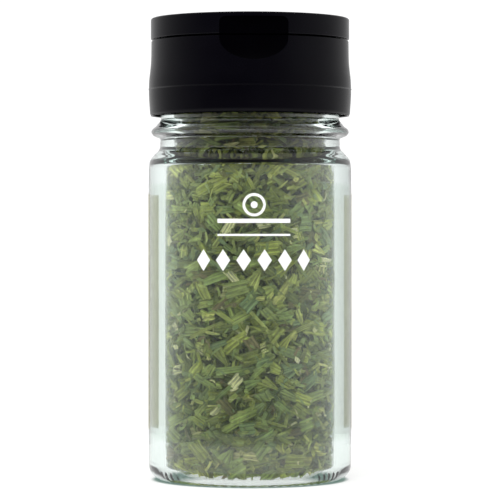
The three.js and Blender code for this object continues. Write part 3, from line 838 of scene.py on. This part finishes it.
# Solid print: opaque ink on film, smooth and slightly glossy, beige.
solid_print, tree, place = material("opaque_beige_ink_on_film")
mottle = node(tree, "ShaderNodeTexNoise", {"Vector": place, "Scale": 700.0, "Detail": 2.0})
ink = node(tree, "ShaderNodeValToRGB", {0: mottle}, [(0.3, linear("#efeddc")), (0.7, linear("#f4f2e5"))])
panel_skin = node(tree, "ShaderNodeBsdfPrincipled", {"Base Color": ink, "Roughness": 0.35})
panel_glow = node(tree, "ShaderNodeBsdfTranslucent", {0: ink})
panel_mix = node(tree, "ShaderNodeMixShader", {0: 0.65, 1: panel_skin, 2: panel_glow})
node(tree, "ShaderNodeOutputMaterial", {0: panel_mix})

# White print: a ring with a dot in it, two rules, and a row of plain lozenges, in opaque screen ink.
white_ink, tree, place = material("opaque_white_screen_ink")
grit = node(tree, "ShaderNodeTexNoise", {"Vector": place, "Scale": 2500.0})
cover = node(tree, "ShaderNodeValToRGB", {0: grit}, [(0.3, grey(0.94)), (0.7, grey(0.99))])
ink_skin = node(tree, "ShaderNodeBsdfPrincipled", {"Base Color": cover, "Roughness": 0.4})
node(tree, "ShaderNodeOutputMaterial", {0: ink_skin})

ring_outline = []  # (distance round, inner height, outer height) from its middle
for a in np.linspace(math.pi, 0, 25):
    x = RING * math.cos(a)
    ring_outline.append((x, math.sqrt(max(RING_INNER ** 2 - x ** 2, 0)), max(RING * math.sin(a), BLUNT)))
dot_outline = [(x * DOT / RING, high * DOT / RING) for x, _, high in ring_outline]
row = row_tree("Print in a row", white_ink)
prints = [
    inked("print_ring_top", [(x, RING_HEIGHT + low, RING_HEIGHT + high) for x, low, high in ring_outline]),
    inked("print_ring_bottom", [(x, RING_HEIGHT - high, RING_HEIGHT - low) for x, low, high in ring_outline]),
    inked("print_dot", [(x, RING_HEIGHT - high, RING_HEIGHT + high) for x, high in dot_outline]),
]
for i, (half, low, thick) in enumerate(RULES):
    prints.append(inked(f"print_rule_{i}", [(x, low, low + thick) for x in np.linspace(-half, half, 21)]))
lozenge_outline = [(LOZENGE_HALF * t, LOZENGE_TALL / 2 * (1 + BLUNT - abs(t))) for t in np.linspace(-1, 1, 9)]
lozenge_columns = [(x, LOZENGE_HEIGHT - high, LOZENGE_HEIGHT + high) for x, high in lozenge_outline]
lozenges = inked("print_lozenges", lozenge_columns)
prints.append(lozenges)
for piece in prints:
    grow(piece, row, Count=LOZENGES if piece is lozenges else 1, Step=LOZENGE_STEP / FILM_OUTER)

for piece in (film, panel, panel_left, *prints):
    if piece in (panel, panel_left):
        piece.data.materials.append(solid_print)
    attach(piece, "jar")
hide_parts("label_film")

# ---- Cap body ----
# Black polypropylene, injection moulded: a bulged skirt with a screw thread inside, a sifter deck
# with seven holes that stands up into the lid, a thumb scoop in front and a flat for the hinge behind.

CAP_BOTTOM = 80.8
CAP_LIP = 21.95
CAP_BELOW = [(22.22, 81.25), (22.38, 83.5), (22.47, 85.2), (22.49, 86.55)]
CAP_PARTING = [(22.58, 86.63), (22.58, 86.72)]  # the fine line where the halves of the mould met
CAP_ABOVE = [(22.49, 86.82), (22.4, 88.9), (22.2, 90.7), (22.03, 92.5), (21.97, 94.2)]
SEAM = 97.4
CAP_TOP = 21.93
THREAD_WALL = 21.05
CAP_THREAD_HEIGHT = 0.9
CAP_THREAD_DROP = 1.75
COLLAR = 20.15
COLLAR_LOW, COLLAR_HIGH = 92.4, 93.4
CEILING = 96.1
WELL = 16.6
BOSS = 18.9
DECK_TOP = 99.6
DECK_THICK = 1.4
HOLE_RADIUS = 2.5
HOLE_CIRCLE = 10.5
HOLES = 6  # round the middle one
CAP_SIDES, RIB_SIDES, HOLE_SIDES = 192, 96, 40

NOTCH_HALF = 7.45
NOTCH_FACE = 20.6
NOTCH_TOP = 101.45
NOTCH_CORNER = 1.3
SCOOP_DEPTH = 5.25
SCOOP_POWER = 2.3
LID_RADIUS = 22.05

HINGE_FLAT = 20.9
HINGE_FLAT_LOW = 94.0
FLAT_HALF = 12.0
BEYOND = 26.0  # how far out the shapes that cut reach
SATIN_BLACKS = (0.0010, 0.0008, 0.0020, 1), (0.0014, 0.0012, 0.0026, 1)  # linear: too dark for hex steps
# painted shade: the notch and scoop are a darker black than the cap
SHADED_RECESS_BLACKS = (0.0003, 0.0002, 0.0006, 1), (0.0004, 0.0003, 0.0008, 1)
CREASE = 32  # degrees beyond which an edge of the cap is sharp


def lofted(name, rows, finish):
    """A closed shape from level rectangles (half width, y of one side, y of the other, height), upwards."""
    points = []
    for half, y0, y1, z in rows:
        points += [(-half, y0, z), (half, y0, z), (half, y1, z), (-half, y1, z)]
    made = link_in(name, surface(name, points, [face[::-1] for face in sleeve(len(rows))]))
    made.data.materials.append(finish)
    return made


def carved(body, *tools):
    """Joins closed shapes to a body or takes them out of it, given as (operation, shape) in order."""
    for operation, tool in tools:
        step = body.modifiers.new(operation, "BOOLEAN")
        step.operation = operation
        step.solver = "EXACT"
        step.material_mode = "TRANSFER"
        step.object = tool
    settle(body)
    for _, tool in tools:
        bpy.data.objects.remove(tool)
    return body


def scoop():
    """What the thumb scoop takes out of the skirt: a hollow that runs up into the notch of the lid."""
    rise = LID_RADIUS - NOTCH_FACE
    radius = (SCOOP_DEPTH ** 2 + rise ** 2) / (2 * rise)
    rows = []
    for t in np.sin(np.linspace(math.pi / 2, 0, 30)):
        down = SCOOP_DEPTH * t
        half = NOTCH_HALF * max(1 - t ** SCOOP_POWER, 1e-5) ** (1 / SCOOP_POWER)
        face = -(NOTCH_FACE + radius) + math.sqrt(radius ** 2 - down ** 2)
        rows.append((half, -BEYOND, face, SEAM - down))
    rows.append((NOTCH_HALF, -BEYOND, -NOTCH_FACE, SEAM + 1))
    return lofted("scoop", rows, polished_and_shaded_black)


def hinge_flat(low, high):
    """What the flat for the hinge takes off the back, between two heights."""
    return lofted("flat", [(FLAT_HALF, HINGE_FLAT, BEYOND, z) for z in (low, high)], black_plastic)


def cap_relief(angle, r, z):
    inside = (np.abs(r - THREAD_WALL) < 0.01) & (z < COLLAR_LOW)
    return thread(angle, z, THREAD_START - CAP_THREAD_DROP, CAP_THREAD_HEIGHT) * inside


def holes_tree(name, finish, drilled):
    """Geometry Nodes for the sifter: a bar for each hole, cut out of the deck or joined on as a plug."""
    sizes = ["Radius", "Tip", "Circle", "Low", "High"]
    tree, given = empty_tree(name, "Body", "Body", Float=sizes, Int=["Count"])
    ring = node(tree, "GeometryNodeMeshCircle", {"Vertices": given["Count"], "Radius": given["Circle"]})
    half_step = node(tree, "ShaderNodeMath", {0: math.pi, 1: given["Count"]}, operation="DIVIDE")
    rotation = node(tree, "ShaderNodeCombineXYZ", {2: half_step})
    turned_ring = node(tree, "GeometryNodeTransform", {"Geometry": ring, "Rotation": rotation})
    middle = node(tree, "GeometryNodeMeshLine", {"Count": 1})
    spots = node(tree, "GeometryNodeJoinGeometry", {0: [turned_ring, middle]})
    height = node(tree, "ShaderNodeMath", {0: given["High"], 1: given["Low"]}, operation="SUBTRACT")
    bar = node(tree, "GeometryNodeMeshCone", {
        "Vertices": HOLE_SIDES, "Radius Top": given["Radius"], "Radius Bottom": given["Tip"], "Depth": height,
    })
    place = node(tree, "ShaderNodeCombineXYZ", {2: given["Low"]})
    lifted = node(tree, "GeometryNodeTransform", {"Geometry": bar, "Translation": place})
    bars = node(tree, "GeometryNodeInstanceOnPoints", {"Points": spots, "Instance": lifted})
    dressed = made_real(tree, bars, finish)
    if drilled:
        shape = node(tree, "GeometryNodeMeshBoolean", {
            "Mesh 1": given["Body"], "Mesh 2": dressed,
        }, operation="DIFFERENCE", solver="EXACT")
    else:
        shape = node(tree, "GeometryNodeJoinGeometry", {0: [given["Body"], dressed]})
    node(tree, "NodeGroupOutput", {0: shape})
    return tree


# Black polypropylene, moulded against fine-blasted steel: satin, very dark with a cold cast, faintly grained.
black_plastic, tree, place = material("moulded_black_polypropylene")
grain = node(tree, "ShaderNodeTexNoise", {"Vector": place, "Scale": 3500.0, "Detail": 2.0})
drift = node(tree, "ShaderNodeTexNoise", {"Vector": place, "Scale": 120.0, "Detail": 3.0})
satin = node(tree, "ShaderNodeMapRange", {0: drift, 1: 0.3, 2: 0.7, 3: 0.2, 4: 0.27})
tint = node(tree, "ShaderNodeValToRGB", {0: drift}, list(zip((0.3, 0.7), SATIN_BLACKS)))
grained = node(tree, "ShaderNodeBump", {"Strength": 0.12, "Distance": 0.00004, "Height": grain})
plastic = node(tree, "ShaderNodeBsdfPrincipled", {
    "Base Color": tint, "Roughness": satin, "IOR": 1.49, "Specular IOR Level": 0.065, "Normal": grained,
})
node(tree, "ShaderNodeOutputMaterial", {0: plastic})

# Where the thumb goes the same plastic is smoother and without the grain; its deeper black and weaker
# reflection are painted shade in the recess.
polished_and_shaded_black, tree, place = material("polished_black_polypropylene")
smear = node(tree, "ShaderNodeTexNoise", {"Vector": place, "Scale": 260.0, "Detail": 2.0})
polish = node(tree, "ShaderNodeMapRange", {0: smear, 1: 0.3, 2: 0.7, 3: 0.1, 4: 0.16})
shaded_tint = node(tree, "ShaderNodeValToRGB", {0: smear}, list(zip((0.3, 0.7), SHADED_RECESS_BLACKS)))
polished = node(tree, "ShaderNodeBsdfPrincipled", {
    "Base Color": shaded_tint, "Roughness": polish, "IOR": 1.49, "Specular IOR Level": 0.03,
})
node(tree, "ShaderNodeOutputMaterial", {0: polished})

cap_profile = [
    *rounded((THREAD_WALL, CAP_BOTTOM, 0.2), (CAP_LIP, CAP_BOTTOM, 0.3), CAP_BELOW[0])[:-1],
    *flowing(CAP_BELOW, 4), *CAP_PARTING, *flowing(CAP_ABOVE, 4),
    *rounded(
        CAP_ABOVE[-1], (CAP_TOP, SEAM, 0.25), (BOSS, SEAM, 0.3), (BOSS, DECK_TOP, 0.4), (BOSS - 1, DECK_TOP),
    )[1:],
    (0, DECK_TOP), (0, DECK_TOP - DECK_THICK),
    (WELL, DECK_TOP - DECK_THICK), (WELL, CEILING), (COLLAR, CEILING), (COLLAR, COLLAR_HIGH),
    (THREAD_WALL, COLLAR_LOW), *rungs(THREAD_WALL, COLLAR_LOW, 81.3, 32),
]
cap_body = turned("cap_body_black", cap_profile, CAP_SIDES, cap_relief, closed=True)
cap_body.data.materials.append(black_plastic)
carved(cap_body, ("DIFFERENCE", scoop()), ("DIFFERENCE", hinge_flat(HINGE_FLAT_LOW, SEAM + 1)))
grow(
    cap_body, holes_tree("Drill the sifter", black_plastic, True),
    Radius=HOLE_RADIUS * MM, Tip=HOLE_RADIUS * MM, Circle=HOLE_CIRCLE * MM,
    Low=(DECK_TOP - 3) * MM, High=(DECK_TOP + 1) * MM, Count=HOLES,
)
crisp(cap_body, CREASE)
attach(cap_body, "jar")
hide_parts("cap_body")

# ---- Flip lid ----
# Black polypropylene, moulded in one with the cap body: a flat round top on a thin skirt, a thumb
# notch in front, and underneath a sealing rib and a plug for each hole of the sifter.

LID_BOTTOM = 97.75
LID_TOP = 102.4
LID_INNER = 20.65
LID_PLATE = 101.2
LID_EDGE = 0.5
FUSED = LID_PLATE + 0.3  # how high the pads, the rib and the plugs reach into the plate
PAD_RADIUS = LID_RADIUS - 0.65
PAD_FACE = 19.2
PAD_HALF = 8.5
PLUG_RADIUS, PLUG_TIP = 2.2, 2.0
PLUG_BOTTOM = 99.0
RIB_RADIUS, RIB_HALF, RIB_BOTTOM = 15.0, 0.5, 99.9


def pad(side):
    """The thick part of the skirt, at the front (-1) or at the back (1)."""
    xs = np.linspace(-PAD_HALF, PAD_HALF, 13)
    outline = [(x, side * math.sqrt(PAD_RADIUS ** 2 - x ** 2)) for x in xs]
    outline += [(x, side * PAD_FACE) for x in xs[::-1]]
    if side > 0:
        outline.reverse()
    count = len(outline)
    points = [(x, y, z) for z in (LID_BOTTOM, FUSED) for x, y in outline]
    faces = [tuple(range(count))[::-1], tuple(range(count, 2 * count))]
    faces += [(i, (i + 1) % count, count + (i + 1) % count, count + i) for i in range(count)]
    return link_in("pad", surface("pad", points, faces))


def notch():
    """What the thumb notch takes out of the lid."""
    rows = [(NOTCH_HALF, -BEYOND, -NOTCH_FACE, LID_BOTTOM - 1)]
    for a in np.linspace(0, math.pi / 2, 7):
        half = NOTCH_HALF - NOTCH_CORNER * (1 - math.cos(a))
        rows.append((half, -BEYOND, -NOTCH_FACE, NOTCH_TOP - NOTCH_CORNER * (1 - math.sin(a))))
    return lofted("notch", rows, polished_and_shaded_black)


lid_profile = [
    (0, LID_PLATE),
    *rounded(
        (15, LID_PLATE), (LID_INNER, LID_PLATE, 0.3), (LID_INNER, LID_BOTTOM, 0.2),
        (LID_RADIUS, LID_BOTTOM, 0.2), (LID_RADIUS, LID_TOP, LID_EDGE), (15, LID_TOP),
    ),
    (0, LID_TOP),
]
flip_lid = turned("flip_lid_black", lid_profile, CAP_SIDES)
flip_lid.data.materials.append(black_plastic)
carved(
    flip_lid, ("UNION", pad(-1)), ("UNION", pad(1)), ("DIFFERENCE", notch()),
    ("DIFFERENCE", hinge_flat(LID_BOTTOM - 1, NOTCH_TOP)),
)
rib_outer, rib_inner = RIB_RADIUS + RIB_HALF, RIB_RADIUS - RIB_HALF
rib_profile = [(rib_outer, RIB_BOTTOM), (rib_outer, FUSED), (rib_inner, FUSED), (rib_inner, RIB_BOTTOM)]
carved(flip_lid, ("UNION", turned("rib", rib_profile, RIB_SIDES, closed=True)))
grow(
    flip_lid, holes_tree("Plugs under the lid", black_plastic, False),
    Radius=PLUG_RADIUS * MM, Tip=PLUG_TIP * MM, Circle=HOLE_CIRCLE * MM,
    Low=PLUG_BOTTOM * MM, High=FUSED * MM, Count=HOLES,
)
crisp(flip_lid, CREASE)
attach(flip_lid, "lid")
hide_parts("flip_lid")

# ---- Living hinge ----
# The web of the same plastic that joins lid and cap body. It is thinned along the line that folds.

HINGE_HALF = 5.7
HINGE_INNER, HINGE_OUTER = 21.2, 21.7
THIN_INNER, THIN_OUTER = 21.32, 21.58
HINGE_LOW, HINGE_HIGH = 94.4, 100.9
FOLD = (SEAM + LID_BOTTOM) / 2
FOLD_HALF, THIN_HALF = 0.3, 0.9  # half heights of the line that folds, and of what is thinned

rows = []
for z in (
    HINGE_LOW, HINGE_LOW + 0.4, 95.5, FOLD - THIN_HALF, *np.linspace(FOLD - FOLD_HALF, FOLD + FOLD_HALF, 9),
    FOLD + THIN_HALF, 99.5, HINGE_HIGH - 0.4, HINGE_HIGH,
):
    thin = 1 - float(smooth_step(abs(z - FOLD), FOLD_HALF, THIN_HALF))
    inner_face = HINGE_INNER + (THIN_INNER - HINGE_INNER) * thin
    outer_face = HINGE_OUTER + (THIN_OUTER - HINGE_OUTER) * thin
    rows.append((HINGE_HALF, inner_face, outer_face, z))
living_hinge = crisp(lofted("living_hinge_black", rows, black_plastic), CREASE)
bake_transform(living_hinge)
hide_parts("living_hinge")
